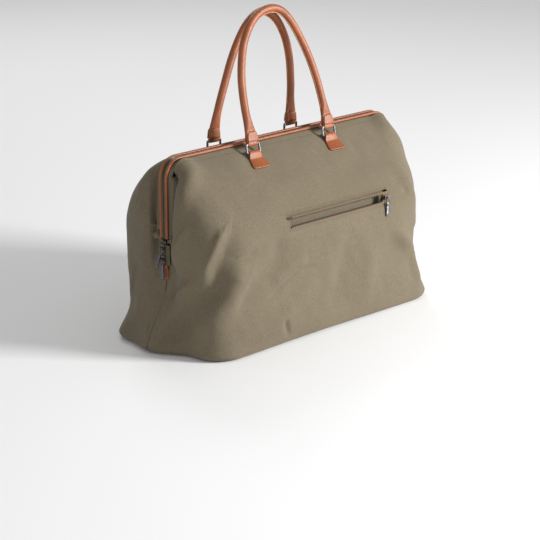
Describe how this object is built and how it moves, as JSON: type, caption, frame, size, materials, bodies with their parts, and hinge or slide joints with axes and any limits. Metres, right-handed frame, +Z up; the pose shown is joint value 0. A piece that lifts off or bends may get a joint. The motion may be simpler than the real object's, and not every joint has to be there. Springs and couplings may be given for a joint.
{
  "type": "duffel bag",
  "caption": "Wire-framed canvas weekender duffel with zipped mouth, rolled leather handles on metal rings, and a zipped sleeve for a trolley handle.",
  "frame": {"origin": "centre of the base, on the resting plane", "axes": "+X along the bag to its right end, +Y to the back, +Z up; the trolley sleeve faces -Y"},
  "size_m": [0.5819, 0.2736, 0.5598],
  "materials": {
    "canvas": "olive-khaki plain-weave cotton canvas, matt",
    "leather": "tan leather, semi-matt, fine grain",
    "dark_metal": "gunmetal plating, satin gloss",
    "zip_tape": "woven tape, matt",
    "zip_teeth": "dark metal teeth",
    "lining": "thin plain lining cloth",
    "board": "stiff board",
    "cord_core": "twisted rope core"
  },
  "bodies": {
    "bag": {"front_panel": "canvas", "back_panel": "canvas", "left_end_panel": "canvas", "right_end_panel": "canvas", "bottom_panel": "canvas", "front_upper_panel": "canvas", "back_upper_panel": "canvas", "sleeve_backing": "canvas", "lining": "lining", "base_board": "board", "inner_pocket": "lining", "left_end_zip": "zip_tape", "right_end_zip": "zip_tape", "left_end_tab": "leather", "right_end_tab": "leather", "left_hinge_plate": "dark_metal", "right_hinge_plate": "dark_metal", "left_hinge_pin": "dark_metal", "right_hinge_pin": "dark_metal", "slot_upper_tape": "zip_tape", "slot_lower_tape": "zip_tape", "slot_upper_teeth": "zip_teeth", "slot_lower_teeth": "zip_teeth"},
    "upper_slider": {"upper_slider": "dark_metal"},
    "upper_puller": {"upper_puller": "dark_metal"},
    "lower_slider": {"lower_slider": "dark_metal"},
    "lower_puller": {"lower_puller": "dark_metal"},
    "slot_slider": {"slot_slider": "dark_metal"},
    "slot_puller": {"slot_puller": "dark_metal"},
    "front_frame": {"front_frame_wire": "dark_metal", "front_frame_casing": "canvas", "front_piping": "leather", "front_zip_tape": "zip_tape", "front_zip_teeth": "zip_teeth", "front_left_tab": "leather", "front_right_tab": "leather"},
    "front_rings": {"front_left_ring": "dark_metal", "front_right_ring": "dark_metal"},
    "front_handle": {"front_handle": "leather", "front_handle_core": "cord_core"},
    "back_frame": {"back_frame_wire": "dark_metal", "back_frame_casing": "canvas", "back_piping": "leather", "back_zip_tape": "zip_tape", "back_zip_teeth": "zip_teeth", "back_left_tab": "leather", "back_right_tab": "leather"},
    "back_rings": {"back_left_ring": "dark_metal", "back_right_ring": "dark_metal"},
    "back_handle": {"back_handle": "leather", "back_handle_core": "cord_core"}
  },
  "joints": [
    {"name": "front_frame_hinge", "type": "hinge", "parent": "bag", "child": "front_frame", "pos_m": [0, 0, 0.195], "axis": [-1, 0, 0], "range_deg": [-35, 0], "deforming": ["front_upper_panel"]},
    {"name": "back_frame_hinge", "type": "hinge", "parent": "bag", "child": "back_frame", "pos_m": [0, 0, 0.195], "axis": [1, 0, 0], "range_deg": [-35, 0], "deforming": ["back_upper_panel"]},
    {"name": "front_ring_turn", "type": "hinge", "parent": "front_frame", "child": "front_rings", "pos_m": [0, -0.0345, 0.32102], "axis": [1, 0, 0], "range_deg": [0, 50]},
    {"name": "front_handle_swing", "type": "hinge", "parent": "front_rings", "child": "front_handle", "pos_m": [0, -0.03121, 0.33668], "axis": [1, 0, 0], "range_deg": [0, 55]},
    {"name": "back_ring_turn", "type": "hinge", "parent": "back_frame", "child": "back_rings", "pos_m": [0, 0.0345, 0.32102], "axis": [-1, 0, 0], "range_deg": [0, 50]},
    {"name": "back_handle_swing", "type": "hinge", "parent": "back_rings", "child": "back_handle", "pos_m": [0, 0.03425, 0.33702], "axis": [-1, 0, 0], "range_deg": [0, 55]},
    {"name": "upper_slider_travel", "type": "slide", "parent": "bag", "child": "upper_slider", "axis": [0, 0, 1], "range_m": [0, 0.105]},
    {"name": "lower_slider_travel", "type": "slide", "parent": "bag", "child": "lower_slider", "axis": [0, 0, 1], "range_m": [0, 0.006]},
    {"name": "upper_puller_lift", "type": "hinge", "parent": "upper_slider", "child": "upper_puller", "pos_m": [-0.2756, 0, 0.18], "axis": [0, 1, 0], "range_deg": [0, 65]},
    {"name": "lower_puller_lift", "type": "hinge", "parent": "lower_slider", "child": "lower_puller", "pos_m": [-0.2756, 0, 0.16], "axis": [0, 1, 0], "range_deg": [0, 38]},
    {"name": "slot_slider_travel", "type": "slide", "parent": "bag", "child": "slot_slider", "axis": [-1, 0, 0], "range_m": [0, 0.225]},
    {"name": "slot_puller_swing", "type": "hinge", "parent": "slot_slider", "child": "slot_puller", "pos_m": [0.139, -0.13745, 0.217], "axis": [0, 1, 0], "range_deg": [-70, 70]}
  ],
  "couplings": [
    {"joint": "front_ring_turn", "follows": "front_handle_swing", "ratio": 0.90909},
    {"joint": "back_ring_turn", "follows": "back_handle_swing", "ratio": 0.90909}
  ]
}
